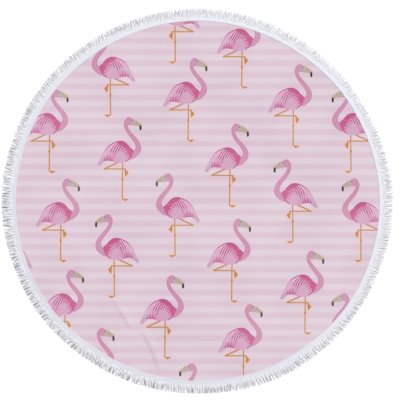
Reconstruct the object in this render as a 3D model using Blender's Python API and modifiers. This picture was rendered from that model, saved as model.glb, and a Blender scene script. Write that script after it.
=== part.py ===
"""Round beach towel laid out flat: a printed microfibre disc with a fringed trim sewn round its edge.

Metres, +Z up. The origin is on the floor under the middle of the towel, and the top of the print
points along +Y. The cloth lies on the floor but for a few soft creases, and the locks of the fringe
bend down from the trim's heading tape and lie level on the floor.
"""

import random
from collections import namedtuple
from math import atan2, cos, hypot, pi, sin, tau

import bmesh
import bpy
from mathutils import Vector

OBJECT_NAME = "round_beach_towel"

# Driving dimensions
OVERALL_DIAMETER = 1.500    # from fringe tip to fringe tip
PRINT_DIAMETER = 1.398      # the printed circle that shows inside the tape
CLOTH_THICKNESS = 0.0020
TAPE_WIDTH = 0.0170         # heading tape of the trim, sewn on over the cloth's edge
TAPE_THICKNESS = 0.0012
TAPE_LAP = 0.0140           # how far the cloth reaches under the tape
SEWN_GAP = 0.0003           # between the cloth and the tape
MILLIMETRE = 0.001
WELD_DISTANCE = 0.00001

# The towel is laid out by hand, so its rim is not a true circle: how far the print's edge and the
# fringe's tips stand out of their circles, in millimetres, at even steps round from +X.
Rim = namedtuple("Rim", "degrees print_edge fringe_tips")
RIM = (
    Rim(0, 8, 10),
    Rim(30, 5, 0),
    Rim(60, 0, -2),
    Rim(90, 3, 1),
    Rim(120, 0, -1),
    Rim(150, 3, 4),
    Rim(180, 3, 9),
    Rim(210, 2, 1),
    Rim(240, -6, -7),
    Rim(270, -6, -8),
    Rim(300, 0, 2),
    Rim(330, 8, 6),
)

# Soft creases left by packing: each runs on an arc from its start past its bend to its end, steep on
# its lower left side and gentle on the other.
Crease = namedtuple("Crease", "start bend end steep gentle height")
CREASES = (
    Crease((-0.322, -0.383), (-0.282, -0.447), (-0.250, -0.491), 0.010, 0.026, 0.0026),
    Crease((-0.225, -0.487), (-0.173, -0.573), (-0.144, -0.668), 0.011, 0.030, 0.0031),
    Crease((-0.316, -0.540), (-0.312, -0.560), (-0.314, -0.586), 0.008, 0.014, 0.0009),
    Crease((-0.466, -0.432), (-0.468, -0.460), (-0.467, -0.488), 0.008, 0.014, 0.0007),
)
CREASE_STEPS = 24           # points read along each crease
CREASE_FADE = 0.7           # power of the sine that brings a crease up from its ends

# The cloth's faces: an even net, halved a few times along the creases
CLOTH_CELLS = 24
CREASE_HALVINGS = 3
CREASE_MARGIN = 0.012       # how far past a crease's foot the net is made finer

# The fringe, with its real locks gathered into fewer and wider ones
LOCK_COUNT = 288
LOCK_SHARE = 0.64           # part of the tape's outer edge that the locks' roots take up
LOCK_SLANT = 0.0020         # most that a tip leans to one side
LOCK_SHORTEST = 0.90        # lengths and widths run from these shares up to the whole
LOCK_NARROWEST = 0.86
LOCK_SEED = 11
FACES_OUT = 0.5             # a wall face belongs to the outer wall if it looks outward by this much

# Sections of a lock past its root: how far out along it, its underside and top over the floor,
# and its width
Section = namedtuple("Section", "along underside top width")
LOCK_SECTIONS = (
    Section(0.26, 0.0, 0.0019, 0.0104),
    Section(1.00, 0.0, 0.0012, 0.0090),
)

CLOTH_COLOUR = (0.72, 0.60, 0.67, 1.0)
TRIM_COLOUR = (0.86, 0.87, 0.90, 1.0)
CLOTH_ROUGHNESS = 0.85
TRIM_ROUGHNESS = 0.90


def clear_scene():
    for old in list(bpy.data.objects):
        bpy.data.objects.remove(old, do_unlink=True)


def collection(name):
    made = bpy.data.collections.new(name)
    bpy.context.scene.collection.children.link(made)
    return made


def fabric(name, colour, roughness):
    material = bpy.data.materials.new(name)
    material.use_nodes = True
    shader = material.node_tree.nodes["Principled BSDF"]
    shader.inputs["Base Color"].default_value = colour
    shader.inputs["Roughness"].default_value = roughness
    shader.inputs["Metallic"].default_value = 0.0
    return material


def named_object(name, bm, material, group):
    """One sub-part from a bmesh, with its own material, in the object's collection."""
    mesh = bpy.data.meshes.new(name)
    bm.to_mesh(mesh)
    bm.free()
    mesh.materials.append(material)
    made = bpy.data.objects.new(name, mesh)
    group.objects.link(made)
    return made


def rim_offset(angle, column):
    """How far the rim stands out of its circle at this angle, eased between the rows of RIM."""
    place = angle / tau * len(RIM) % len(RIM)
    row = int(place)
    ease = (1 - cos(pi * (place - row))) / 2
    here = getattr(RIM[row % len(RIM)], column)
    there = getattr(RIM[(row + 1) % len(RIM)], column)
    return (here + (there - here) * ease) * MILLIMETRE


def print_radius(angle):
    return PRINT_DIAMETER / 2 + rim_offset(angle, "print_edge")


def cloth_radius(angle):
    return print_radius(angle) + TAPE_LAP


def tape_radius(angle):
    return print_radius(angle) + TAPE_WIDTH


def tip_radius(angle):
    return OVERALL_DIAMETER / 2 + rim_offset(angle, "fringe_tips")


def crease_line(crease):
    """Points along a crease, on the arc that its three places draw."""
    start, bend, end = (Vector(place) for place in (crease.start, crease.bend, crease.end))
    pull = bend * 2 - (start + end) / 2
    points = []
    for step in range(CREASE_STEPS + 1):
        t = step / CREASE_STEPS
        points.append(start * (1 - t) ** 2 + pull * 2 * t * (1 - t) + end * t ** 2)
    return points


CREASE_LINES = [crease_line(crease) for crease in CREASES]


def nearest_on_crease(x, y, crease, line):
    """Distance to a crease's line, how far along it that is, from 0 to 1, and the width on that side."""
    distances = [hypot(point.x - x, point.y - y) for point in line]
    nearest = min(distances)
    step = distances.index(nearest)
    heading = line[min(step + 1, CREASE_STEPS)] - line[max(step - 1, 0)]
    gentle_side = heading.x * (y - line[step].y) - heading.y * (x - line[step].x) > 0
    return nearest, step / CREASE_STEPS, crease.gentle if gentle_side else crease.steep


def crease_height(x, y):
    """Height of the cloth's underside over the floor: a rounded ridge that dies out at its ends."""
    height = 0.0
    for crease, line in zip(CREASES, CREASE_LINES):
        away, along, width = nearest_on_crease(x, y, crease, line)
        if away < width:
            ridge = (1 + cos(pi * away / width)) / 2
            height = max(height, crease.height * ridge * sin(pi * along) ** CREASE_FADE)
    return height


def near_crease(edge):
    middle = (edge.verts[0].co + edge.verts[1].co) / 2
    for crease, line in zip(CREASES, CREASE_LINES):
        away, _, width = nearest_on_crease(middle.x, middle.y, crease, line)
        if away < width + CREASE_MARGIN:
            return True
    return False


def square_to_disc(x, y):
    """Turns a point of the square from -1 to 1 into the matching point of the round cloth."""
    if abs(x) > abs(y):
        share, angle = x, pi / 4 * y / x
    elif y:
        share, angle = y, pi / 2 - pi / 4 * x / y
    else:
        return 0.0, 0.0
    px, py = share * cos(angle), share * sin(angle)
    radius = cloth_radius(atan2(py, px))
    return px * radius, py * radius


def printed_cloth(group):
    """The towel itself: one round sheet, its edge turned in under the tape."""
    bm = bmesh.new()
    bmesh.ops.create_grid(bm, x_segments=CLOTH_CELLS, y_segments=CLOTH_CELLS, size=1.0)
    for vert in bm.verts:
        vert.co.x, vert.co.y = square_to_disc(vert.co.x, vert.co.y)
    for _ in range(CREASE_HALVINGS):
        close = [edge for edge in bm.edges if near_crease(edge)]
        bmesh.ops.subdivide_edges(bm, edges=close, cuts=1, use_grid_fill=True)
    for vert in bm.verts:
        vert.co.z = crease_height(vert.co.x, vert.co.y)
    for face in bm.faces:
        face.smooth = True
    material = fabric("printed_microfibre", CLOTH_COLOUR, CLOTH_ROUGHNESS)
    cloth = named_object("printed_cloth", bm, material, group)
    wall = cloth.modifiers.new("cloth_thickness", "SOLIDIFY")
    wall.thickness = CLOTH_THICKNESS
    wall.offset = 1.0
    return cloth


def tape_band():
    """The heading tape as a closed ring, its outer wall cut into lock roots and the gaps between."""
    steps = 2 * LOCK_COUNT
    bm = bmesh.new()
    bmesh.ops.create_grid(bm, x_segments=steps, y_segments=1, size=1.0)
    for vert in bm.verts:
        index = round((vert.co.x + 1) / 2 * steps)
        turn = index // 2 + index % 2 * LOCK_SHARE
        angle = turn / LOCK_COUNT * tau
        radius = print_radius(angle) if vert.co.y > 0 else tape_radius(angle)
        vert.co = (radius * cos(angle), radius * sin(angle), CLOTH_THICKNESS + SEWN_GAP)
    bmesh.ops.remove_doubles(bm, verts=bm.verts, dist=WELD_DISTANCE)
    grown = bmesh.ops.extrude_face_region(bm, geom=bm.faces[:])
    top = [item for item in grown["geom"] if isinstance(item, bmesh.types.BMVert)]
    bmesh.ops.translate(bm, verts=top, vec=(0, 0, TAPE_THICKNESS))
    bmesh.ops.recalc_face_normals(bm, faces=bm.faces)
    return bm


def lock_root(face):
    """The lock that grows from this face of the tape's outer wall, or None in a gap."""
    middle = face.calc_center_median()
    outward = Vector((middle.x, middle.y, 0)).normalized()
    if face.normal.dot(outward) < FACES_OUT:
        return None
    turn = atan2(middle.y, middle.x) / tau * LOCK_COUNT % LOCK_COUNT
    return int(turn) if turn % 1 < LOCK_SHARE else None


def shape_section(face, section, root, outward, lean, length, fullness):
    """Moves a lock's end face to a section: out along the floor, to one side, and to its width."""
    across = Vector((-outward.y, outward.x, 0))
    middle = face.calc_center_median()
    for vert in face.verts:
        side = 1 if (vert.co - middle).dot(across) > 0 else -1
        height = section.top if vert.co.z > middle.z else section.underside
        sideways = lean * section.along + side * section.width * fullness / 2
        place = root + outward * length * section.along + across * sideways
        vert.co = (place.x, place.y, height)


def fringe_trim(group):
    """The bought trim, sewn on round the edge: a heading tape with its locks rooted in it."""
    bm = tape_band()
    rng = random.Random(LOCK_SEED)
    roots = {}
    for face in bm.faces:
        lock = lock_root(face)
        if lock is not None:
            roots[lock] = face
    for lock in sorted(roots):
        root = roots[lock].calc_center_median()
        outward = Vector((root.x, root.y, 0)).normalized()
        reach = tip_radius(atan2(root.y, root.x)) - hypot(root.x, root.y)
        length = reach * rng.uniform(LOCK_SHORTEST, 1.0)
        lean = rng.uniform(-LOCK_SLANT, LOCK_SLANT)
        fullness = rng.uniform(LOCK_NARROWEST, 1.0)
        end = roots[lock]
        for section in LOCK_SECTIONS:
            end = bmesh.ops.extrude_discrete_faces(bm, faces=[end])["faces"][0]
            shape_section(end, section, root, outward, lean, length, fullness)
    bmesh.ops.recalc_face_normals(bm, faces=bm.faces)
    material = fabric("white_cotton_trim", TRIM_COLOUR, TRIM_ROUGHNESS)
    return named_object("fringe_trim", bm, material, group)


clear_scene()
towel = collection(OBJECT_NAME)
printed_cloth(towel)
fringe_trim(towel)
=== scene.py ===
"""Looks of a round beach towel spread flat: its printed cloth, the tape and stitches that edge it, and
the fringe. Metres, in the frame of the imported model: the floor is z = 0, the towel's middle is over the
origin, and the top of the print points along +Y.
"""

from collections import namedtuple
from math import hypot, pi, radians, tau

import bpy
import numpy as np
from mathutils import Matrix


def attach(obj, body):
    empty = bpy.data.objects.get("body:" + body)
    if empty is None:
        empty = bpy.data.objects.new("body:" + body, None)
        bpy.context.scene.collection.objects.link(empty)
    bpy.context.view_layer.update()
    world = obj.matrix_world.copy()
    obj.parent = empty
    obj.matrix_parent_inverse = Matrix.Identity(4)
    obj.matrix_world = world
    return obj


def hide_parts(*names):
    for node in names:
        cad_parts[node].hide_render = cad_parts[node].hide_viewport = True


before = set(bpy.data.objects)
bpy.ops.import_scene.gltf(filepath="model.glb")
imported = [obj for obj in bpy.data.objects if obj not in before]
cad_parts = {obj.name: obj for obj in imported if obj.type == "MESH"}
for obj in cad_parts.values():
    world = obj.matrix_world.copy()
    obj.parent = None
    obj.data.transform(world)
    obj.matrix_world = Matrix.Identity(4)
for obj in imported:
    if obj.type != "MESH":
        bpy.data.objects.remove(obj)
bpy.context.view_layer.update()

bpy.ops.object.select_all(action="DESELECT")


# ---------------------------------------------------------------------------------------------------
# The printed cloth. One round of brushed microfibre, dye-printed on its face and left white on its
# back. It came folded in a packet and was spread by hand, so it keeps a few soft creases and lies
# a little out of round. Its edge is turned in under the tape.
# ---------------------------------------------------------------------------------------------------

MILLIMETRE = 0.001
PRINT_RADIUS = 0.699
CLOTH_THICKNESS = 0.0020
CLOTH_LAP = 0.0140          # how far the cloth goes on under the tape
CLOTH_CELLS = 210           # squares of the cloth's net, each way across it

# How far the rim stands out of its circle, and how far the tape has rolled in over the print, in
# millimetres, at even steps round from +X
Rim = namedtuple("Rim", "degrees print_edge fringe_tips rolled_in")
RIM = (
    Rim(0, 8, 11, 0),
    Rim(30, 5, 0, 0.8),
    Rim(60, 0, -1, 0.8),
    Rim(90, 3, 1, 0.3),
    Rim(120, 0, -1, 1),
    Rim(150, 3, 3, 2),
    Rim(180, 3, 7, -0.5),
    Rim(210, 2, 1, 2),
    Rim(240, -6, -7, 3.5),
    Rim(270, -6, -8, 0.5),
    Rim(300, 0, 2, 1.2),
    Rim(330, 8, 5, 0.8),
)

# Creases: each runs on an arc from its start past its bend to its end, steep on its lower left side
Crease = namedtuple("Crease", "start bend end steep gentle height")
CREASES = (
    Crease((-0.322, -0.383), (-0.282, -0.447), (-0.250, -0.491), 0.009, 0.034, 0.0024),
    Crease((-0.225, -0.487), (-0.173, -0.573), (-0.144, -0.668), 0.010, 0.038, 0.0029),
    Crease((-0.316, -0.540), (-0.312, -0.560), (-0.314, -0.586), 0.008, 0.014, 0.0009),
    Crease((-0.466, -0.432), (-0.468, -0.460), (-0.467, -0.488), 0.008, 0.014, 0.0007),
)
CREASE_STEPS = 48
CREASE_FADE = 0.7           # power of the sine that brings a crease up from its ends

# Slow waves left in the cloth: how far apart their crests are, their heading and their height
Wave = namedtuple("Wave", "spacing heading height")
WAVES = (
    Wave(0.310, 20, 0.00022),
    Wave(0.230, 75, 0.00018),
    Wave(0.420, 130, 0.00026),
    Wave(0.170, 155, 0.00012),
)
WAVES_FADE = (0.60, 0.69)   # radii over which the waves die out towards the tape


def rim_offset(angle, column):
    """How far the rim stands out of its circle at these angles, eased between the rows of RIM."""
    offsets = np.array([getattr(row, column) for row in RIM]) * MILLIMETRE
    place = np.mod(angle / tau * len(RIM), len(RIM))
    row = np.floor(place).astype(int) % len(RIM)
    ease = (1 - np.cos(pi * (place % 1))) / 2
    return offsets[row] + (offsets[(row + 1) % len(RIM)] - offsets[row]) * ease


def print_radius(angle):
    return PRINT_RADIUS + rim_offset(angle, "print_edge")


def square_to_disc(x, y):
    """Takes the points of the square from -1 to 1 to their places on the round cloth."""
    wide = np.abs(x) > np.abs(y)
    share = np.where(wide, x, y)
    turn = pi / 4 * np.where(wide, y, x) / np.where(share == 0, 1, share)
    angle = np.where(wide, turn, pi / 2 - turn)
    x, y = share * np.cos(angle), share * np.sin(angle)
    radius = print_radius(np.arctan2(y, x)) + CLOTH_LAP
    return x * radius, y * radius


def crease_rise(x, y):
    """Height of the creases: ridges that fall off steeply on one side and gently on the other."""
    rise = np.zeros_like(x)
    t = np.linspace(0, 1, CREASE_STEPS + 1)[:, None]
    for crease in CREASES:
        start, bend, end = (np.array(place) for place in (crease.start, crease.bend, crease.end))
        pull = bend * 2 - (start + end) / 2
        line = start * (1 - t) ** 2 + pull * 2 * t * (1 - t) + end * t ** 2
        heading = np.gradient(line, axis=0)
        gap_x = x[:, None] - line[:, 0]
        gap_y = y[:, None] - line[:, 1]
        near = np.hypot(gap_x, gap_y).argmin(axis=1)
        gap_x = np.take_along_axis(gap_x, near[:, None], 1)[:, 0]
        gap_y = np.take_along_axis(gap_y, near[:, None], 1)[:, 0]
        gentle_side = heading[near, 0] * gap_y - heading[near, 1] * gap_x > 0
        width = np.where(gentle_side, crease.gentle, crease.steep)
        ridge = (1 + np.cos(pi * np.minimum(np.hypot(gap_x, gap_y) / width, 1))) / 2
        along = np.sin(pi * near / CREASE_STEPS) ** CREASE_FADE
        rise = np.maximum(rise, crease.height * ridge * along)
    return rise


def wave_rise(x, y):
    """Height of the slow waves, which add nothing below zero and die out towards the tape. A wave's
    heading, taken as radians, also sets where its crests fall.
    """
    rise = np.zeros_like(x)
    for wave in WAVES:
        heading = radians(wave.heading)
        run = x * np.cos(heading) + y * np.sin(heading)
        rise += wave.height * (1 + np.sin(tau * run / wave.spacing + wave.heading))
    inner, outer = WAVES_FADE
    return rise * np.clip((outer - np.hypot(x, y)) / (outer - inner), 0, 1)


def mesh_points(mesh):
    points = np.empty(len(mesh.vertices) * 3)
    mesh.vertices.foreach_get("co", points)
    return points.reshape(-1, 3)


def corner_points(mesh):
    """The vertex of each face corner, in the order in which a UV map lists its places."""
    corners = np.empty(len(mesh.loops), dtype=np.int32)
    mesh.loops.foreach_get("vertex_index", corners)
    return corners


def lay_map(mesh, name, u, v):
    """Writes a UV map of this name from a place for each face corner."""
    layer = mesh.uv_layers.get(name) or mesh.uv_layers.new(name=name)
    layer.data.foreach_set("uv", np.column_stack((u, v)).astype(np.float32).ravel())


bpy.ops.mesh.primitive_grid_add(x_subdivisions=CLOTH_CELLS, y_subdivisions=CLOTH_CELLS, size=2)
cloth = bpy.context.object
cloth.name = "printed_towel_cloth"
points = mesh_points(cloth.data)
across, up = square_to_disc(points[:, 0], points[:, 1])
rise = crease_rise(across, up) + wave_rise(across, up)
points = np.column_stack((across, up, CLOTH_THICKNESS + rise))
cloth.data.vertices.foreach_set("co", points.ravel())
cloth.data.polygons.foreach_set("use_smooth", [True] * len(cloth.data.polygons))

# The print's birds: where the middle of each body lies, in metres, and which way it faces, +1 to the
# right and -1 to the left. They are tossed over the stripes, and the tape cuts those at the edge.
Bird = namedtuple("Bird", "x y facing")
BIRDS = (
    Bird(-0.073, 0.727, -1),
    Bird(0.162, 0.630, 1),
    Bird(-0.324, 0.521, -1),
    Bird(-0.046, 0.424, 1),
    Bird(0.361, 0.401, 1),
    Bird(-0.584, 0.303, 1),
    Bird(0.608, 0.303, -1),
    Bird(-0.301, 0.195, 1),
    Bird(0.115, 0.170, 1),
    Bird(0.383, 0.031, -1),
    Bird(-0.074, -0.023, -1),
    Bird(0.647, -0.042, -1),
    Bird(-0.540, -0.042, 1),
    Bird(-0.309, -0.181, -1),
    Bird(0.123, -0.199, 1),
    Bird(-0.723, -0.203, -1),
    Bird(0.407, -0.323, 1),
    Bird(-0.524, -0.396, 1),
    Bird(-0.136, -0.418, 1),
    Bird(0.608, -0.487, -1),
    Bird(0.168, -0.529, 1),
    Bird(-0.406, -0.622, 1),
    Bird(0.017, -0.759, -1),
)

# The boxes that hold a bird's parts, from the middle of its body: each box's middle and half sizes
Box = namedtuple("Box", "x y half_x half_y")
BIRD_BOXES = (
    Box(0.052, 0.069, 0.041, 0.070),    # neck, head and bill
    Box(-0.013, -0.008, 0.075, 0.054),  # body and tail
    Box(-0.012, -0.070, 0.052, 0.032),  # raised leg
    Box(0.022, -0.115, 0.022, 0.083),   # standing leg
)


def map_birds(mesh):
    """Gives each face the nearest bird's own measures, from the middle of its body, as a UV map."""
    corners = corner_points(mesh)
    places = mesh_points(mesh)[corners]
    sides = len(mesh.loops) // len(mesh.polygons)
    middles = places.reshape(-1, sides, 3).mean(axis=1)
    bird_x = np.array([bird.x for bird in BIRDS])
    bird_y = np.array([bird.y for bird in BIRDS])
    facing = np.array([bird.facing for bird in BIRDS])
    across = (middles[:, 0:1] - bird_x) * facing
    up = middles[:, 1:2] - bird_y
    apart = np.full(across.shape, np.inf)
    for box in BIRD_BOXES:
        beside = np.abs(across - box.x) - box.half_x
        beyond = np.abs(up - box.y) - box.half_y
        apart = np.minimum(apart, np.maximum(beside, beyond))
    nearest = np.repeat(apart.argmin(axis=1), sides)
    u = (places[:, 0] - bird_x[nearest]) * facing[nearest]
    lay_map(mesh, "bird_measures", u, places[:, 1] - bird_y[nearest])


cloth.data.uv_layers[0].name = "bird_measures"
map_birds(cloth.data)

# The bake's map: the face in the middle of the image, and the back cut in four, a quarter to a corner
FACE_SHARE = 0.485
BACK_SHARE = 0.200
MAP_RADIUS = PRINT_RADIUS + CLOTH_LAP + 0.008   # just past the cloth's widest place
RIM_STRETCH = 1.012         # the rim's wall is opened out round the face by this much


def lay_cloth_map(mesh, face_count):
    corners = corner_points(mesh)
    places = mesh_points(mesh)[corners] / MAP_RADIUS
    sides = len(mesh.loops) // len(mesh.polygons)
    middles = np.repeat(places.reshape(-1, sides, 3).mean(axis=1), sides, axis=0)
    face = np.repeat(np.arange(len(mesh.polygons)), sides)
    printed, back = face < face_count, (face >= face_count) & (face < 2 * face_count)
    wall = ~printed & ~back
    low = wall & (places[:, 2] < middles[:, 2])
    reach = np.where(low, RIM_STRETCH, 1.0) * FACE_SHARE
    u, v = 0.5 + places[:, 0] * reach, 0.5 + places[:, 1] * reach
    u = np.where(back, (middles[:, 0] < 0) + places[:, 0] * BACK_SHARE, u)
    v = np.where(back, (middles[:, 1] < 0) + places[:, 1] * BACK_SHARE, v)
    lay_map(mesh, "OFBake", u, v)


face_count = len(cloth.data.polygons)
wall = cloth.modifiers.new("thickness", "SOLIDIFY")
wall.thickness = CLOTH_THICKNESS
wall.offset = -1
wall.material_offset = 1
bpy.context.view_layer.objects.active = cloth
bpy.ops.object.modifier_apply(modifier=wall.name)
lay_cloth_map(cloth.data, face_count)

# Light falls on the towel so that a surface of colour c shows as c times this much
LIGHT_GAIN = 1.079


def dye(red, green, blue):
    """A colour as it is to show, from 0 to 255, as the linear colour of the surface."""
    shown = np.array((red, green, blue)) / 255
    linear = np.where(shown > 0.04045, ((shown + 0.055) / 1.055) ** 2.4, shown / 12.92)
    return (*(float(part) / LIGHT_GAIN for part in linear), 1.0)


class Socket:
    """One output of a material's nodes. Sums and products of sockets add their Math nodes."""

    def __init__(self, tree, output=None):
        self.tree = tree
        self.output = output

    def node(self, kind, settings=(), sockets=(), output=0):
        """Adds a node: its settings first, and then the value or the link of each socket."""
        made = self.tree.nodes.new(kind)
        for name, value in dict(settings).items():
            if name == "outline":
                set_curve(made.mapping, value)
            else:
                setattr(made, name, value)
        for name, value in dict(sockets).items():
            if isinstance(value, Socket):
                self.tree.links.new(value.output, made.inputs[name])
            else:
                made.inputs[name].default_value = value
        return Socket(self.tree, made.outputs[output])

    def math(self, operation, *others, clamp=False):
        values = dict(enumerate((self, *others)))
        return self.node("ShaderNodeMath", {"operation": operation, "use_clamp": clamp}, values)

    def __add__(self, other):
        return self.math("ADD", other)

    def __sub__(self, other):
        return self.math("SUBTRACT", other)

    def __rsub__(self, other):
        return self.node("ShaderNodeMath", {"operation": "SUBTRACT"}, {0: other, 1: self})

    def __mul__(self, other):
        return self.math("MULTIPLY", other)

    def __truediv__(self, other):
        return self.math("DIVIDE", other)

    def __pow__(self, other):
        return self.math("POWER", other)

    __radd__ = __add__
    __rmul__ = __mul__

    def least(self, other):
        return self.math("MINIMUM", other)

    def most(self, other):
        return self.math("MAXIMUM", other)

    def size(self):
        return self.math("ABSOLUTE")

    def wave(self):
        """From 0 to 1 and back, once for each turn of 2 pi."""
        return self.math("SINE") * 0.5 + 0.5

    def soft(self, blur):
        """0 below zero and 1 above it, blurred over this width."""
        return self.math("MULTIPLY_ADD", 1 / blur, 0.5, clamp=True)

    def painted(self, colour, where):
        """This colour with another laid over it where the mask is 1."""
        return self.node("ShaderNodeMix", {"data_type": "RGBA"}, {0: where, 6: self, 7: colour}, 2)

    def mixed(self, first, second, share):
        """The first of two colours, and more of the second as the share rises to 1."""
        return self.node("ShaderNodeMix", {"data_type": "RGBA"}, {0: share, 6: first, 7: second}, 2)

    def part(self, axis):
        return self.node("ShaderNodeSeparateXYZ", {}, {0: self}, axis)


# Outlines of the bird, in millimetres from the middle of its body: heights along its back, its belly
# and the lower edge of its rose cap, and places up it of the neck's two edges and the first long quill
CURVE_REACH = 140
BACK = (
    (-88, -64), (-84, -49), (-75, -31), (-67, -14), (-60, 0), (-54, 11), (-48, 19), (-40, 25), (-31, 31),
    (-21, 36), (-11, 40), (3, 42.5), (14, 41), (24, 36), (34, 27), (42, 17), (48, 12), (55, 5), (58, -14),
)
BELLY = (
    (-88, -55), (-80, -56), (-72, -55), (-66, -49), (-60, -39), (-53, -35), (-40, -35), (-31, -36),
    (-20, -41), (-6, -43), (10, -43), (20, -41.5), (28, -38), (36, -33), (42, -28), (47, -20),
    (52, -8), (57, 6),
)
CAP_EDGE = (
    (-24, 45), (-14, 37), (-5, 30), (3, 25), (9, 23.5), (13, 21.5), (17, 17), (22, 11), (27, 5), (31, -1),
    (35.5, -9), (39, -19), (42, -30),
)
NECK_FRONT = (
    (-36, 28), (-31, 41), (-26, 57), (-17, 68), (-7, 78), (7, 84), (20, 84), (35, 79), (52, 67), (67, 54),
    (81, 42), (95, 34), (101, 33), (105, 36), (110, 44), (122, 44), (130, 20),
)
NECK_BACK = (
    (-36, 36), (-20, 44), (-5, 52), (4, 56), (11, 61), (20, 63), (30, 60), (42, 53), (57, 41), (77, 27),
    (92, 20), (103, 18), (112, 18), (121, 21), (130, 38),
)
FIRST_QUILL = (
    (-30, -38), (-20, -37), (-10, -36), (0, -33), (8, -30), (15, -26), (25, -19), (32, -12), (38, -4),
)


def set_curve(mapping, outline):
    """Sets a curve's points from pairs in millimetres, which it holds from 0 to 1."""
    curve = mapping.curves[0]
    places = [((a / CURVE_REACH + 1) / 2, (b / CURVE_REACH + 1) / 2) for a, b in outline]
    for place in places[1:-1]:
        curve.points.new(*place)
    curve.points[0].location = places[0]
    curve.points[len(places) - 1].location = places[-1]
    mapping.extend = "HORIZONTAL"
    mapping.update()


def along_outline(value, outline):
    """Reads an outline at a value in millimetres."""
    share = value.math("MULTIPLY_ADD", 0.5 / CURVE_REACH, 0.5)
    read = share.node("ShaderNodeFloatCurve", {"outline": outline}, {"Value": share})
    return read.math("MULTIPLY_ADD", 2 * CURVE_REACH, -CURVE_REACH)


# Each of these says how deep a point lies inside a shape of the print, in millimetres
def stroke(u, v, start, end, start_radius, end_radius):
    run_u, run_v = end[0] - start[0], end[1] - start[1]
    square = run_u ** 2 + run_v ** 2
    off_u, off_v = u - start[0], v - start[1]
    along = (off_u * (run_u / square) + off_v * (run_v / square)).math("ADD", 0, clamp=True)
    off_u, off_v = off_u - along * run_u, off_v - along * run_v
    radius = along * (end_radius - start_radius) + start_radius
    return radius - (off_u * off_u + off_v * off_v) ** 0.5


def bar(u, v, left, right, bottom, top):
    middle_u, middle_v = (left + right) / 2, (bottom + top) / 2
    beside = (right - left) / 2 - (u - middle_u).size()
    return beside.least((top - bottom) / 2 - (v - middle_v).size())


def spot(u, v, middle, radius):
    off_u, off_v = u - middle[0], v - middle[1]
    return radius - (off_u * off_u + off_v * off_v) ** 0.5


def wedge(u, v, *corners):
    """A three-cornered shape, its corners given anticlockwise."""
    depth = None
    for start, end in zip(corners, corners[1:] + corners[:1]):
        run_u, run_v = end[0] - start[0], end[1] - start[1]
        length = hypot(run_u, run_v)
        inside = v * (run_u / length) - u * (run_v / length)
        inside = inside + (start[0] * run_v - start[1] * run_u) / length
        depth = inside if depth is None else depth.least(inside)
    return depth


STRIPE_PITCH = 0.0444
STRIPE_START = 0.0270       # the middle of one pale stripe


def paint_stripes(bare):
    """The ground of the print: soft stripes of two pale pinks, a little uneven in the dyeing."""
    place = bare.node("ShaderNodeTexCoord", output="Object")
    turn = (place.part("Y") - STRIPE_START) * (tau / STRIPE_PITCH) + pi / 2
    pale = turn.math("SINE").soft(1.05)
    cloud = bare.node("ShaderNodeTexNoise", {}, {"Vector": place, "Scale": 14.0, "Detail": 3.0})
    return bare.mixed(dye(220, 194, 209), dye(226, 200, 214), cloud).painted(dye(226, 210, 221), pale)


def leg_shapes(u, v):
    legs = stroke(u, v, (12.6, -38), (11.2, -182.5), 2.1, 2.1)
    legs = legs.most(bar(u, v, -60, 25, -68.8, -64.5))
    legs = legs.most(stroke(u, v, (-4, -41), (-59, -66.6), 2.6, 2.4))
    feet = wedge(u, v, (23, -98.5), (36.5, -82), (22, -65.5))
    feet = feet.most(stroke(u, v, (21, -68), (28.5, -81), 2.4, 5.4))
    feet = feet.most(stroke(u, v, (27, -79), (26, -87), 6.0, 4.8))
    feet = feet.most(wedge(u, v, (9, -181.5), (22, -192), (37, -183)))
    feet = feet.most(spot(u, v, (11.8, -106.5), 4.6)).most(spot(u, v, (-58, -66.6), 2.8))
    return legs, feet


def neck_shape(u, v):
    neck = along_outline(v, NECK_FRONT) - u
    neck = neck.least(u - along_outline(v, NECK_BACK))
    return neck.most(stroke(u, v, (37.5, 119), (50, 114.5), 15, 12))


def bleed(colour, dyed, depth, width, share):
    """The dye's faint bleed into the ground just outside a shape."""
    return colour.painted(dyed, (depth + width).soft(width) * share)


def paint_legs(colour, v, legs, feet):
    """The legs, which turn from pink under the body to tan, and the ochre feet."""
    skin = colour.mixed(dye(187, 130, 82), dye(178, 122, 116), (v + 56).soft(16) * 0.6)
    colour = colour.painted(skin, legs.soft(1.6))
    return colour.painted(dye(198, 133, 69), feet.soft(1.8))


def paint_head(colour, u, v, neck, grain):
    """The neck and head, with a bill that is grey at its root, tan in front and black at its tip."""
    shade = (5 - neck).soft(7) * 0.5 + grain * 0.2
    skin = colour.mixed(dye(211, 147, 179), dye(186, 136, 163), shade)
    colour = colour.painted(skin, neck.soft(1.8))
    neck_foot = stroke(u, v, (52, -3), (42, -26), 3.0, 2.0)
    colour = colour.painted(dye(228, 146, 186), neck_foot.soft(4) * 0.6)
    bill = stroke(u, v, (55, 114), (80, 103.5), 12.2, 6.3)
    colour = colour.painted(dye(184, 175, 171), bill.soft(2.0))
    bill_front = bill.least(u - 64 + (v - 110) * 0.5)
    colour = colour.painted(dye(208, 176, 154), bill_front.soft(6.0))
    seam = stroke(u, v, (62, 113), (74, 107), 0.9, 0.9)
    seam = seam.most(stroke(u, v, (74, 107), (80, 99), 0.9, 1.2))
    colour = colour.painted(dye(140, 112, 100), seam.soft(1.4) * 0.8)
    nostril = spot(u, v, (66, 117.5), 1.9)
    colour = colour.painted(dye(128, 112, 110), nostril.soft(1.6) * 0.8)
    tip = stroke(u, v, (81.6, 99), (82.6, 92), 3.7, 4.1)
    tip = tip.most(stroke(u, v, (82.6, 92), (81.6, 87), 4.1, 3.7))
    colour = colour.painted(dye(14, 0, 8), tip.soft(1.4))
    eye = spot(u, v, (48.3, 120.5), 2.4)
    return colour.painted(dye(104, 82, 92), eye.soft(1.8))


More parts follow.
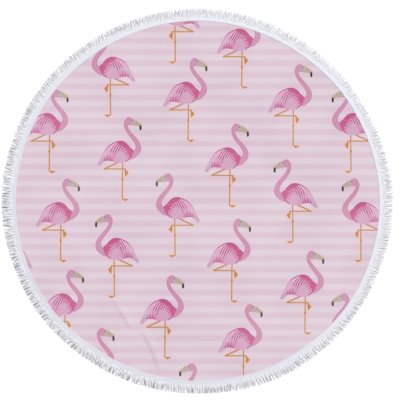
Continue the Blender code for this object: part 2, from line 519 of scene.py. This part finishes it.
# How far apart the feathers of each kind lie, in millimetres
PLUME_PITCH = 8.0
QUILL_PITCH = 9.4
RUMP_PITCH = 10.5


def tail_plumes(u, v, grain):
    """Ridges along the tail's long plumes, 1 on each dark one."""
    turn = (u + 82.5) * (0.9 * tau / PLUME_PITCH) - (v + 50) * (0.42 * tau / PLUME_PITCH)
    return (turn + pi / 2 + grain * 1.5).wave()


def paint_wing(feathers, u, v, under_back, quill, ridges, cap_depth):
    """The wing's long feathers, pale between dark quills that all bend like the first."""
    lower_end = (quill - 14).size() * 0.45 - 5
    pale = (0.62 - ridges).soft(0.5) * (v - lower_end - 4).soft(12) * (quill + 14).soft(9)
    pale = pale * (38 - quill).soft(10) * (0.95 - (quill - 10).soft(8) * 0.30)
    pale = pale * (-4 - cap_depth).soft(9).most((-7 - u).soft(6))
    feathers = feathers.painted(dye(248, 190, 224), pale)
    wing = (v - lower_end).soft(8) * (40 - quill).soft(8)
    dark = (ridges - 0.58).soft(0.36) * wing * (quill + 5).soft(4) * (under_back - 6.5).soft(4)
    feathers = feathers.painted(dye(158, 46, 104), dark)
    upper_edge = stroke(u, v, (-12, 34), (-31, 22), 1.7, 1.2)
    feathers = feathers.painted(dye(250, 190, 224), upper_edge.soft(2.5) * 0.7)
    long_quill = stroke(u, v, (-15, -4), (-21, -22), 1.8, 1.2)
    return feathers.painted(dye(168, 84, 136), long_quill.soft(1.6) * 0.8)


def paint_shoulder(feathers, u, v, cap_depth, rose, grain):
    """The rose cap, and the shoulder's short feathers, which point back from it into the belly."""
    rows = ((v - u * 0.5) * (tau / QUILL_PITCH) + 5.25 + grain * 1.2).wave()
    belly_u, belly_v = u / 22, (v + 27) / 28
    off_belly = (belly_u * belly_u + belly_v * belly_v) ** 0.5 - 1
    short = off_belly.soft(0.22) * (u - 12).soft(6)
    feathers = feathers.painted(dye(246, 180, 213), short * (0.52 - rows).soft(0.4) * 0.7)
    dark = (rows - 0.52 + cap_depth * 0.011).soft(0.34)
    feathers = feathers.painted(dye(174, 54, 110), short * dark * 0.95)
    feathers = feathers.painted(rose, cap_depth.soft(2.5))
    band = stroke(u, v, (22, 14), (41, 14), 1.6, 0.8)
    return feathers.painted(dye(228, 150, 188), band.soft(1.8) * 0.4)


def paint_tail(feathers, u, v, plumes):
    """The tail's long plumes, and the rump's rose patch with its streaks."""
    tail = (-44 - u).soft(20)
    feathers = feathers.painted(dye(226, 188, 212), tail * 0.85)
    dark = (-24 - v).soft(26) * tail * (plumes - 0.58).soft(0.35)
    feathers = feathers.painted(dye(168, 112, 152), dark * 0.75)
    blush = stroke(u, v, (-48, -28), (-24, -31), 9, 6)
    feathers = feathers.painted(dye(220, 128, 170), blush.soft(12) * 0.5)
    fingers = ((u - v * 0.2 + 31.5) * (tau / RUMP_PITCH) + pi / 2).wave()
    rump = (fingers * 23 - 34 - v).soft(6) * (15 - (u + 41).size()).soft(6)
    feathers = feathers.painted(dye(190, 84, 138), rump * 0.85)
    tail_root = stroke(u, v, (-56, -24), (-60, -35), 1.4, 2.2)
    return feathers.painted(dye(172, 92, 138), tail_root.soft(1.8) * 0.9)


def paint_rims(feathers, u, v, under_back, over_belly):
    """The darker rims along the back, down the tail, under the rump and under the breast."""
    back_rim = (3.6 - under_back).soft(2.0) * (u + 46).soft(10)
    back_rim = back_rim * ((-6 - u).soft(14) * 0.45 + 0.55)
    feathers = feathers.painted(dye(150, 70, 115), back_rim)
    tail_rim = (7 - under_back).soft(7) * (-46 - u).soft(10)
    feathers = feathers.painted(dye(182, 142, 168), tail_rim * 0.75)
    rump_rim = (2.6 - over_belly).soft(2.0) * (14 - (u + 43).size()).soft(6)
    feathers = feathers.painted(dye(176, 82, 128), rump_rim * 0.9)
    breast_rim = stroke(u, v, (38, -30), (25, -39), 2.0, 2.6)
    return feathers.painted(dye(156, 78, 120), breast_rim.soft(1.8) * 0.9)


def paint_body(colour, u, v, under_back, over_belly, plumes, grain):
    """The body: a plain belly, a rose cap over the shoulder, and feathers sweeping to the tail."""
    forward = (u + 10).soft(60) * 0.6 + (grain - 0.3) * 1.2
    feathers = colour.mixed(dye(217, 157, 189), dye(213, 170, 199), forward)
    quill = u - along_outline(v, FIRST_QUILL)
    ridges = (quill * (tau / QUILL_PITCH) + (pi / 2 - 0.6) + grain * 1.2).wave()
    cap_depth = v - along_outline(u, CAP_EDGE) + (ridges - 0.5) * 5
    rose = colour.mixed(dye(202, 86, 141), dye(198, 83, 135), (v - 14).soft(10))
    feathers = feathers.painted(rose, (cap_depth + 13).soft(20) * 0.55)
    feathers = paint_wing(feathers, u, v, under_back, quill, ridges, cap_depth)
    feathers = paint_shoulder(feathers, u, v, cap_depth, rose, grain)
    feathers = paint_tail(feathers, u, v, plumes)
    feathers = paint_rims(feathers, u, v, under_back, over_belly)
    return colour.painted(feathers, under_back.least(over_belly).soft(1.8))


def start_finish(name):
    """A new material, and a bare socket to start its painting from."""
    material = bpy.data.materials.new(name)
    material.use_nodes = True
    return material, Socket(material.node_tree)


def wire_finish(material, colour, roughness, normal, **constants):
    """Links what varies over the surface, and sets what doesn't on the shader's own sockets."""
    shader = material.node_tree.nodes["Principled BSDF"]
    for name, value in (("Base Color", colour), ("Roughness", roughness), ("Normal", normal)):
        material.node_tree.links.new(value.output, shader.inputs[name])
    for name, value in constants.items():
        shader.inputs[name.replace("_", " ")].default_value = value


KNIT_RIB = 0.0016


def brushed_nap(bare, depth):
    """The nap of brushed microfibre, over the ribs of its knit: its tufts, and the bump they make."""
    place = bare.node("ShaderNodeTexCoord", output="Object")
    tufts = bare.node("ShaderNodeTexNoise", {}, {"Vector": place, "Scale": 900.0, "Detail": 2.0})
    lie = bare.node("ShaderNodeTexNoise", {}, {"Vector": place, "Scale": 45.0, "Detail": 3.0})
    ribs = (place.part("X") * (tau / KNIT_RIB)).wave()
    height = tufts * 0.7 + ribs * 0.15 + lie * 0.6
    bump = bare.node("ShaderNodeBump", {}, {"Strength": 0.5, "Distance": depth, "Height": height})
    return tufts, bump


def printed_face():
    """The print, bled a little into its ground, under the slow drift of the dyeing and the nap."""
    material, bare = start_finish("printed_microfibre_face")
    measures = bare.node("ShaderNodeUVMap", {"uv_map": "bird_measures"})
    u, v = measures.part("X") * 1000, measures.part("Y") * 1000
    grain = bare.node("ShaderNodeTexNoise", {}, {"Vector": measures, "Scale": 60.0, "Detail": 2.0})
    legs, feet = leg_shapes(u, v)
    neck = neck_shape(u, v)
    under_back = along_outline(u, BACK) - v
    plumes = tail_plumes(u, v, grain)
    over_belly = v - along_outline(u, BELLY) - (1 - plumes) * (-64 - u).soft(8) * 7
    body = under_back.least(over_belly)
    ground = bleed(paint_stripes(bare), dye(252, 200, 160), legs.most(feet), 3.5, 0.42)
    ground = bleed(ground, dye(246, 190, 224), neck.most(body), 4.5, 0.48)
    colour = paint_legs(ground, v, legs, feet)
    colour = paint_head(colour, u, v, neck, grain)
    colour = paint_body(colour, u, v, under_back, over_belly, plumes, grain)
    tufts, bump = brushed_nap(bare, 0.0005)
    place = bare.node("ShaderNodeTexCoord", output="Object")
    drift = bare.node("ShaderNodeTexNoise", {}, {"Vector": place, "Scale": 5.0, "Detail": 1.0})
    colour = colour.painted(dye(255, 250, 254), (drift - 0.55).soft(0.3) * 0.07)
    colour = colour.painted(dye(120, 100, 114), (0.45 - drift).soft(0.3) * 0.035)
    colour = colour.painted(dye(252, 246, 250), (tufts - 0.5).soft(1.2) * 0.02)
    wire_finish(
        material, colour, tufts * 0.08 + 0.86, bump,
        Specular_IOR_Level=0.2, Sheen_Weight=0.15, Sheen_Roughness=0.6,
    )
    return material


def white_back():
    """The back is undyed, and the face's stripes show through it faintly."""
    material, bare = start_finish("white_microfibre_back")
    tufts, bump = brushed_nap(bare, 0.0007)
    colour = paint_stripes(bare).painted(dye(240, 234, 239), 0.85)
    wire_finish(material, colour, tufts * 0.08 + 0.88, bump, Sheen_Weight=0.2, Sheen_Roughness=0.6)
    return material


cloth.data.materials.clear()
cloth.data.materials.append(printed_face())
cloth.data.materials.append(white_back())
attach(cloth, "root")
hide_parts("printed_cloth")


# ---------------------------------------------------------------------------------------------------
# The heading tape of the bought trim. A woven cotton tape laid over the cloth's turned-in edge all
# the way round and sewn down flat. Its outer half carries the roots of the locks.
# ---------------------------------------------------------------------------------------------------

TAPE_WIDTH = 0.0170
TAPE_MIDDLE = PRINT_RADIUS + TAPE_WIDTH / 2     # radius at which the tape's length is measured
TAPE_THICKNESS = 0.0005
TAPE_STEPS = 1440
TAPE_ROWS = 10
TAPE_MAP_ROWS = 16          # the ring is cut in this many lengths, one under another in the bake's map

# Height of the tape's top over the floor, at places across it from its inner edge, in millimetres
TAPE_ACROSS = (0, 0.05, 0.12, 0.3, 0.55, 0.8, 0.9, 1.0)
TAPE_HEIGHTS = (2.38, 2.60, 2.82, 3.05, 2.95, 2.75, 2.60, 2.40)

# Where its inner edge has come up off the print, in degrees round, and by how much
LIFTED_AT = 207
LIFTED_SPREAD = 5
LIFTED_BY = 0.0012


def tape_radius(turn, across):
    """Places across the tape, whose inner edge has rolled in a little over the print."""
    return print_radius(turn) + across * TAPE_WIDTH - rim_offset(turn, "rolled_in") * (1 - across)


def pucker(turn, across):
    """How far the sewing draws the tape up, in metres: small waves that differ all the way round."""
    fine = np.sin(turn * 251 + 2.2 * np.sin(turn * 17)) * (1 + np.sin(turn * 31)) / 2
    broad = np.sin(turn * 67 + 1.7 * np.sin(turn * 9) + 2 * across)
    off_lift = (turn - radians(LIFTED_AT)) / radians(LIFTED_SPREAD)
    lifted = LIFTED_BY * np.exp(-off_lift ** 2) * (1 - across) ** 2
    return 0.00014 * fine * (1 - across) + 0.00016 * (broad + 1) * across + lifted


bpy.ops.mesh.primitive_grid_add(x_subdivisions=TAPE_STEPS, y_subdivisions=TAPE_ROWS, size=2)
tape = bpy.context.object
tape.name = "white_heading_tape"
points = mesh_points(tape.data)
turn = (points[:, 0] + 1) / 2 * tau
across = (1 - points[:, 1]) / 2
corners = corner_points(tape.data)
tape.data.uv_layers[0].name = "tape_run"
lay_map(tape.data, "tape_run", (turn * TAPE_MIDDLE)[corners], (across * TAPE_WIDTH)[corners])
radius = tape_radius(turn, across)
height = np.interp(across, TAPE_ACROSS, TAPE_HEIGHTS) * MILLIMETRE + pucker(turn, across)
points = np.column_stack((radius * np.cos(turn), radius * np.sin(turn), height))
tape.data.vertices.foreach_set("co", points.ravel())
tape.data.polygons.foreach_set("use_smooth", [True] * len(tape.data.polygons))
bpy.ops.object.mode_set(mode="EDIT")
bpy.ops.mesh.select_all(action="SELECT")
bpy.ops.mesh.remove_doubles(threshold=0.00001)
bpy.ops.object.mode_set(mode="OBJECT")
face_count = len(tape.data.polygons)
wall = tape.modifiers.new("thickness", "SOLIDIFY")
wall.thickness = TAPE_THICKNESS
wall.offset = -1
bpy.ops.object.modifier_apply(modifier=wall.name)


def lay_tape_map(mesh, face_count):
    """Lays the ring out in rows: its top over its back, the two edges opened out beside the top."""
    runs = np.empty(len(mesh.loops) * 2, dtype=np.float32)
    mesh.uv_layers["tape_run"].data.foreach_get("uv", runs)
    share = runs[0::2] / (tau * TAPE_MIDDLE)
    across = runs[1::2] / TAPE_WIDTH
    sides = len(mesh.loops) // len(mesh.polygons)
    face = np.repeat(np.arange(len(mesh.polygons)), sides)
    middle = np.repeat(share.reshape(-1, sides).mean(axis=1), sides)
    row = np.floor(middle * TAPE_MAP_ROWS)
    heights = mesh_points(mesh)[corner_points(mesh)][:, 2]
    low = heights < np.repeat(heights.reshape(-1, sides).mean(axis=1), sides)
    edge = np.where(across < 0.5, -0.05, 0.05) * (low & (face >= 2 * face_count))
    back = (face >= face_count) & (face < 2 * face_count)
    v = np.where(back, 0.94 - across * 0.32, 0.08 + across * 0.44 + edge)
    lay_map(mesh, "OFBake", share * TAPE_MAP_ROWS - row, (row + v) / TAPE_MAP_ROWS)


lay_tape_map(tape.data, face_count)


def white_cotton(name, shadow, shade, weave):
    """White cotton: its tone varies a little, the shade gives how far it falls to its shadow's
    colour, and the weave gives how its threads stand up.
    """
    material, bare = start_finish(name)
    place = bare.node("ShaderNodeTexCoord", output="Object")
    fluff = bare.node("ShaderNodeTexNoise", {}, {"Vector": place, "Scale": 1400.0, "Detail": 2.0})
    wear = bare.node("ShaderNodeTexNoise", {}, {"Vector": place, "Scale": 38.0, "Detail": 2.0})
    height = weave(bare) + fluff * 0.35
    bump = bare.node("ShaderNodeBump", {}, {"Strength": 0.6, "Distance": 0.0004, "Height": height})
    colour = bare.mixed(dye(259, 259, 264), dye(248, 249, 258), wear * 0.6)
    colour = colour.painted(shadow, shade(bare))
    wire_finish(material, colour, fluff * 0.1 + 0.85, bump, Sheen_Weight=0.2, Sheen_Roughness=0.5)
    return material


TAPE_RIB = 0.0021
TAPE_ROW = 0.0028           # its rows run along it
TAPE_SLOPE = 0.012          # how far across it slopes down from the cord along its inner edge
TAPE_SHADOW = dye(157, 159, 180)


def tape_ribs(bare):
    run = bare.node("ShaderNodeUVMap", {"uv_map": "tape_run"})
    return (run.part("X") * (tau / TAPE_RIB)).wave()


def tape_weave(bare):
    """Ribs across the tape and rows along it, with the slope down from the cord at its inner edge."""
    run = bare.node("ShaderNodeUVMap", {"uv_map": "tape_run"})
    slope = (run.part("Y") / TAPE_SLOPE).least(1.0)
    outer_half = (run.part("Y") - TAPE_WIDTH / 2).soft(0.001)
    rows = (run.part("Y") * (tau / TAPE_ROW)).wave()
    return tape_ribs(bare) * (outer_half * 0.6 + 0.4) + rows * 0.4 - slope * 9


def tape_shade(bare):
    """Painted shade: the furrows between the ribs are darker, and so is the inner edge, most towards the
    lower left, away from the key light.
    """
    run = bare.node("ShaderNodeUVMap", {"uv_map": "tape_run"})
    place = bare.node("ShaderNodeTexCoord", output="Object")
    # Painted shade along the inner edge, deepest towards the lower left, and in the furrows between the
    # ribs
    lower_left = (place.part("X") * -1 - place.part("Y")).soft(1.0)
    painted_edge_shade = (0.004 - run.part("Y")).soft(0.008) * (lower_left * 0.16 + 0.02)
    return (0.3 - tape_ribs(bare)).soft(0.6) * 0.10 + painted_edge_shade + 0.22


tape.data.materials.append(white_cotton("white_cotton_tape", TAPE_SHADOW, tape_shade, tape_weave))
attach(tape, "root")
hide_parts("fringe_trim")


# ---------------------------------------------------------------------------------------------------
# The sewing. Two rows of white lockstitch hold the tape down, one along its inner edge and one
# along the middle of it.
# ---------------------------------------------------------------------------------------------------

STITCH_PITCH = 0.0036
STITCH_LENGTH = 0.0028
STITCH_THREAD = 0.0006
STITCH_ROWS = (0.13, 0.42)  # across the tape
STITCH_SECTIONS = ((-0.5, 0.35), (-0.32, 1.0), (0.32, 1.0), (0.5, 0.35))   # place, and fullness
STITCH_MAP_COLUMNS = 64
STRAND_SIDES = 6


def strand_mesh(name, middles, headings, widths, heights, twists, hollow, columns):
    """Closed strands joined in one mesh: rings round each strand's middles, and a cap at each end.

    Each array holds a row for each strand and a place for each ring. Every second point of a ring is
    drawn in by the share called hollow, so that a strand shows its plies. Strands lie in the bake's
    map in this many columns.
    """
    count, rings = widths.shape
    angle = np.arange(STRAND_SIDES) * tau / STRAND_SIDES + twists[:, :, None]
    ply = np.where(np.arange(STRAND_SIDES) % 2, 1 - np.reshape(hollow, (-1, 1)), 1.0)
    beside = np.cos(angle) * ply * widths[:, :, None] / 2
    above = np.sin(angle) * ply * heights[:, :, None] / 2
    points = np.empty((count, rings, STRAND_SIDES, 3))
    points[..., 0] = middles[:, :, None, 0] - np.sin(headings)[:, :, None] * beside
    points[..., 1] = middles[:, :, None, 1] + np.cos(headings)[:, :, None] * beside
    points[..., 2] = middles[:, :, None, 2] + above

    around = np.arange(STRAND_SIDES)
    strand, ring, side = np.meshgrid(np.arange(count), np.arange(rings - 1), around, indexing="ij")

    def index(ring, side):
        return (strand * rings + ring) * STRAND_SIDES + side % STRAND_SIDES

    near = (index(ring, side), index(ring, side + 1))
    far = (index(ring + 1, side + 1), index(ring + 1, side))
    walls = np.stack(near + far, axis=-1)
    first = np.arange(count)[:, None] * rings * STRAND_SIDES
    starts = first + around[::-1]
    ends = first + (rings - 1) * STRAND_SIDES + around
    mesh = bpy.data.meshes.new(name)
    faces = walls.reshape(-1, 4).tolist() + starts.tolist() + ends.tolist()
    mesh.from_pydata(points.reshape(-1, 3), [], faces)
    mesh.polygons.foreach_set("use_smooth", [True] * len(faces))

    # Each strand has a cell of the map: its walls opened flat, and its two caps over them
    rows = -(-count // columns)
    cell_u, cell_v = (strand % columns)[..., None], (strand // columns)[..., None]
    wall_u = (side[..., None] + np.array((0, 1, 1, 0))) / STRAND_SIDES * 0.8 + 0.1
    wall_v = (ring[..., None] + np.array((0, 0, 1, 1))) / (rings - 1) * 0.74 + 0.05
    wall_u, wall_v = (cell_u + wall_u) / columns, (cell_v + wall_v) / rows
    cap = around * tau / STRAND_SIDES
    cap_u, cap_v = 0.12 * np.cos(cap), 0.05 * np.sin(cap) + 0.90
    cell_u, cell_v = (np.arange(count) % columns)[:, None], (np.arange(count) // columns)[:, None]
    start_u, start_v = (cell_u + 0.25 + cap_u[::-1]) / columns, (cell_v + cap_v[::-1]) / rows
    end_u, end_v = (cell_u + 0.75 + cap_u) / columns, (cell_v + cap_v) / rows
    u = np.concatenate((wall_u.ravel(), start_u.ravel(), end_u.ravel()))
    v = np.concatenate((wall_v.ravel(), start_v.ravel(), end_v.ravel()))
    lay_map(mesh, "OFBake", u, v)
    made = bpy.data.objects.new(name, mesh)
    bpy.context.scene.collection.objects.link(made)
    return made


per_row = round(tau * PRINT_RADIUS / STITCH_PITCH)
shifts = 0.5 * np.arange(len(STITCH_ROWS))[:, None]
turn = ((np.arange(per_row) + shifts) / per_row * tau).ravel()
across = np.repeat(STITCH_ROWS, per_row)
along, fullness = np.array(STITCH_SECTIONS).T
place = turn[:, None] + along * STITCH_LENGTH / PRINT_RADIUS
radius = tape_radius(place, across[:, None])
top = np.interp(across, TAPE_ACROSS, TAPE_HEIGHTS)[:, None] * MILLIMETRE
height = top + pucker(place, across[:, None]) + (fullness - 0.75) * STITCH_THREAD / 2
middles = np.stack((radius * np.cos(place), radius * np.sin(place), height), axis=-1)
thread = np.broadcast_to(fullness * STITCH_THREAD, place.shape)
untwisted = np.zeros(place.shape)
stitches = strand_mesh(
    "lockstitch_thread", middles, place + pi / 2, thread, thread, untwisted, 0, STITCH_MAP_COLUMNS,
)


def thread_fuzz(bare):
    place = bare.node("ShaderNodeTexCoord", output="Object")
    return bare.node("ShaderNodeTexNoise", {}, {"Vector": place, "Scale": 2500.0})


def thread_shade(bare):
    place = bare.node("ShaderNodeTexCoord", output="Object")
    return bare.node("ShaderNodeTexNoise", {}, {"Vector": place, "Scale": 90.0}) * 0.20 + 0.06


thread_finish = white_cotton("white_sewing_thread", TAPE_SHADOW, thread_shade, thread_fuzz)
stitches.data.materials.append(thread_finish)
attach(stitches, "root")
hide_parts("fringe_trim")


# ---------------------------------------------------------------------------------------------------
# The fringe. Short locks of three-ply white cotton, looped through the outer half of the tape and
# left to fall as they like: they lean together in tufts, cross, curl, and lie down on the floor.
# ---------------------------------------------------------------------------------------------------

LOCK_COUNT = 1150
LOCK_RINGS = 12
LOCK_ROOT = 0.86            # where across the tape the locks come out of it
LOCK_WIDTH = 0.0036
LOCK_HEIGHT = 0.0019
LOCK_TWIST = 40             # degrees of twist between one ring and the next
LOCK_MAP_COLUMNS = 44
LOCK_SHADOW = dye(118, 116, 126)
PLY_HOLLOW = 0.17           # least at the root, where the plies are still laid close
TIP_RADIUS = 0.750
LOCK_REACH = TIP_RADIUS - PRINT_RADIUS - LOCK_ROOT * TAPE_WIDTH
TUFT_LOCKS = (2, 3, 3, 3, 3, 4)     # how many locks a tuft gathers
CROSSING_SHARE = 0.06       # of the locks lie across their neighbours
CROSSING_RISE = 0.0022
THICK_AT = 223              # degrees round: the locks were straightened least at the lower left, and the shade painted on them is deepest there

# A lock's shape at places along it, as shares: its width where the fringe is straight and where it
# lies thick, its height, and how far it still is from the floor
WIDTH_PLACES = (0, 0.1, 0.3, 0.6, 0.9, 1.0)
STRAIGHT_WIDTHS = (1.35, 1.40, 1.25, 0.95, 0.75, 0.45)
THICK_WIDTHS = (1.35, 1.40, 1.30, 1.20, 1.15, 0.80)
HEIGHT_PLACES = (0, 0.1, 0.35, 0.75, 0.92, 1.0)
HEIGHTS = (0.4, 0.6, 0.9, 0.95, 0.65, 0.3)
FALL_PLACES = (0, 0.2, 0.5, 0.75, 1.0)
FALLS = (1.0, 0.8, 0.35, 0.08, 0.0)

rng = np.random.default_rng(11)


def gather_tufts(count):
    """Gathers the locks into tufts. Gives each lock's lean, in radians, and how deep the shade painted on
    it is where the tufts part: only the first of each tuft has it.
    """
    leans, parting_shade = np.empty(count), np.zeros(count)
    first = 0
    while first < count:
        locks = np.arange(first, min(first + rng.choice(TUFT_LOCKS), count))
        leans[locks] = rng.normal(0, 0.05) - (locks - locks.mean()) * rng.uniform(0.00, 0.04)
        parting_shade[first] = 1.25 * rng.random() ** 1.3
        first = locks[-1] + 1
    return leans, parting_shade


def thick_share(turn, power):
    """How thick the locks lie at these angles, and how deep their painted shade is, from 0 to 1; a higher
    power narrows the thick part.
    """
    return ((1 + np.cos(turn - radians(THICK_AT))) / 2) ** power


base = (np.arange(LOCK_COUNT) + rng.normal(0, 0.10, LOCK_COUNT)) / LOCK_COUNT * tau
dense = thick_share(base, 3)
untidy = 0.65 + 0.25 * dense
root = print_radius(base) + LOCK_ROOT * TAPE_WIDTH
reach = TIP_RADIUS + rim_offset(base, "fringe_tips") - root
length = reach * rng.uniform(0.965, 1.035, LOCK_COUNT)
along = np.linspace(0, 1, LOCK_RINGS)
tuft_lean, parting_shade = gather_tufts(LOCK_COUNT)
lean = (tuft_lean + rng.normal(0, 0.03, LOCK_COUNT)) * untidy
crossing = rng.random(LOCK_COUNT) < CROSSING_SHARE
lean = lean + crossing * rng.choice((-1, 1), LOCK_COUNT) * rng.uniform(0.15, 0.35, LOCK_COUNT) * untidy
curl = rng.normal(0, 0.20, LOCK_COUNT) * untidy
wriggle = rng.normal(0, 0.12, LOCK_COUNT) * untidy
phase = rng.uniform(0, tau, LOCK_COUNT)
ease = np.clip(along / 0.3, 0, 1)
headings = base[:, None] + lean[:, None] * ease + curl[:, None] * along ** 2
headings = headings + wriggle[:, None] * ease * np.sin(along * 7 + phase[:, None])
step = (length / (LOCK_RINGS - 1))[:, None]
out = np.cumsum(np.cos(headings) * step, axis=1) - np.cos(headings[:, :1]) * step
side = np.cumsum(np.sin(headings) * step, axis=1) - np.sin(headings[:, :1]) * step
fullness = rng.uniform(0.88, 1.1, LOCK_COUNT)[:, None]
slim = np.interp(along, WIDTH_PLACES, STRAIGHT_WIDTHS)
full = np.interp(along, WIDTH_PLACES, THICK_WIDTHS)
widths = fullness * LOCK_WIDTH * (slim + (full - slim) * dense[:, None])
heights = fullness * LOCK_HEIGHT * np.interp(along, HEIGHT_PLACES, HEIGHTS)
fall = np.interp(along, FALL_PLACES, FALLS)
hump = rng.uniform(0, 0.0012, LOCK_COUNT) * untidy + crossing * CROSSING_RISE
rise = hump[:, None] * np.sin(pi * np.clip((along - 0.15) / 0.85, 0, 1)) ** 2
top = np.interp(LOCK_ROOT, TAPE_ACROSS, TAPE_HEIGHTS) * MILLIMETRE
height = heights / 2 + fall * (top - LOCK_HEIGHT * 0.35) + rise
root_x, root_y = (root * np.cos(base))[:, None], (root * np.sin(base))[:, None]
middles = np.stack((root_x + out, root_y + side, height), axis=-1)
twists = np.radians(LOCK_TWIST) * np.arange(LOCK_RINGS) + phase[:, None]
hollow = PLY_HOLLOW * np.interp(along, (0, 0.5), (0.3, 1.0))
fringe = strand_mesh(
    "twisted_fringe_locks", middles, headings, widths, heights, twists, hollow, LOCK_MAP_COLUMNS,
)

# Each lock has its own tone, with shade painted over it: the locks are a little darker near the tape,
# they grey outwards towards the lower left, away from the key light, where they lie thick, and they are
# dark where the tufts part and in a speck here and there, as in the shade between them.
SPECK_COUNT = 300
SPECK_WIDTH = 0.0028        # round the rim
SPECK_LENGTH = 0.0026       # along the locks
own_tone = rng.random(LOCK_COUNT)[:, None] * 0.02
# Painted shade on the locks next to the tape
root_shade = np.interp(along, (0.13, 0.24, 0.35, 0.45), (0.125, 0.095, 0.045, 0.0))
# Painted shade that greys the locks outwards towards the lower left, away from the key light
lower_left_shade = 0.03 * dense[:, None] * np.interp(along, (0.35, 0.85), (0, 1))
lower_left_shade = lower_left_shade + 0.07 * dense[:, None] ** 2 * np.interp(along, (0.15, 0.35), (0, 1))
# Painted shade where the tufts part
parting_shade = parting_shade * (0.60 + 0.55 * dense)
gap_shade = parting_shade[:, None] * np.interp(along, (0.28, 0.50, 0.85, 1.0), (0, 0.75, 1.0, 0.8))
# Specks of painted shade between the curls
speck_turns = rng.uniform(0, tau, SPECK_COUNT)
speck_places = rng.triangular(0.30, 0.85, 1.00, SPECK_COUNT)
for turn, place in zip(speck_turns, speck_places):
    strength = rng.uniform(0.4, 1.0) * (0.50 + 0.58 * thick_share(turn, 2))
    beside = ((base - turn + pi) % tau - pi) * TIP_RADIUS / SPECK_WIDTH
    beyond = (along - place) * LOCK_REACH / SPECK_LENGTH
    gap_shade = np.maximum(gap_shade, strength * np.exp(-beside[:, None] ** 2 - beyond ** 2))
# Each lock's own tone, and the shade painted on it
tones_and_shade = own_tone + root_shade + lower_left_shade + 0.82 * gap_shade
tones_and_shade = np.repeat(tones_and_shade.ravel(), STRAND_SIDES)
fringe.data.attributes.new("lock_tone_and_shade", "FLOAT", "POINT").data.foreach_set("value", tones_and_shade)


# Reads each lock's own tone together with its painted shade
def lock_shade(bare):
    return bare.node("ShaderNodeAttribute", {"attribute_name": "lock_tone_and_shade"}, {}, "Fac")


fringe.data.materials.append(white_cotton("white_cotton_locks", LOCK_SHADOW, lock_shade, thread_fuzz))
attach(fringe, "root")
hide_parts("fringe_trim")


# ---------------------------------------------------------------------------------------------------
# The floor, the light and the camera.
# ---------------------------------------------------------------------------------------------------

CAMERA_HEIGHT = 5.0
FRAME_WIDTH = 1.5511        # metres of floor across the square picture
FRAME_MIDDLE = (0.0116, 0.0081)
SENSOR_WIDTH = 36.0
FLOOR_SIZE = 40
FLOOR_DROP = 0.0005         # keeps the floor clear of what lies on it
SKY_STRENGTH = 0.52
KEY_PLACE = (3.0, 3.2, 4.2)     # the key light shines from here to the towel's middle
KEY_SPREAD = 30             # degrees
KEY_STRENGTH = 2.45

bpy.ops.mesh.primitive_plane_add(size=FLOOR_SIZE, location=(0, 0, -FLOOR_DROP))
floor = bpy.context.object
floor.name = "pale_floor"
floor_finish, bare = start_finish("pale_floor")
floor_shader = floor_finish.node_tree.nodes["Principled BSDF"]
floor_shader.inputs["Base Color"].default_value = (0.97, 0.97, 0.97, 1.0)
floor_shader.inputs["Roughness"].default_value = 0.9
floor.data.materials.append(floor_finish)

world = bpy.data.worlds.new("studio")
world.use_nodes = True
world.node_tree.nodes["Background"].inputs["Color"].default_value = (1.0, 1.0, 1.0, 1.0)
world.node_tree.nodes["Background"].inputs["Strength"].default_value = SKY_STRENGTH
bpy.context.scene.world = world

bpy.ops.object.light_add(type="SUN", location=KEY_PLACE)
key_light = bpy.context.object
key_light.name = "soft_key_light"
key_light.data.angle = radians(KEY_SPREAD)
key_light.data.energy = KEY_STRENGTH
key_light.rotation_euler = (-key_light.location).to_track_quat("-Z", "Y").to_euler()

bpy.ops.object.camera_add(location=(*FRAME_MIDDLE, CAMERA_HEIGHT), rotation=(0, 0, 0))
camera = bpy.context.object
camera.name = "camera_above"
camera.data.sensor_width = SENSOR_WIDTH
camera.data.lens = SENSOR_WIDTH * CAMERA_HEIGHT / FRAME_WIDTH
bpy.context.scene.camera = camera
bpy.context.scene.view_settings.view_transform = "Standard"
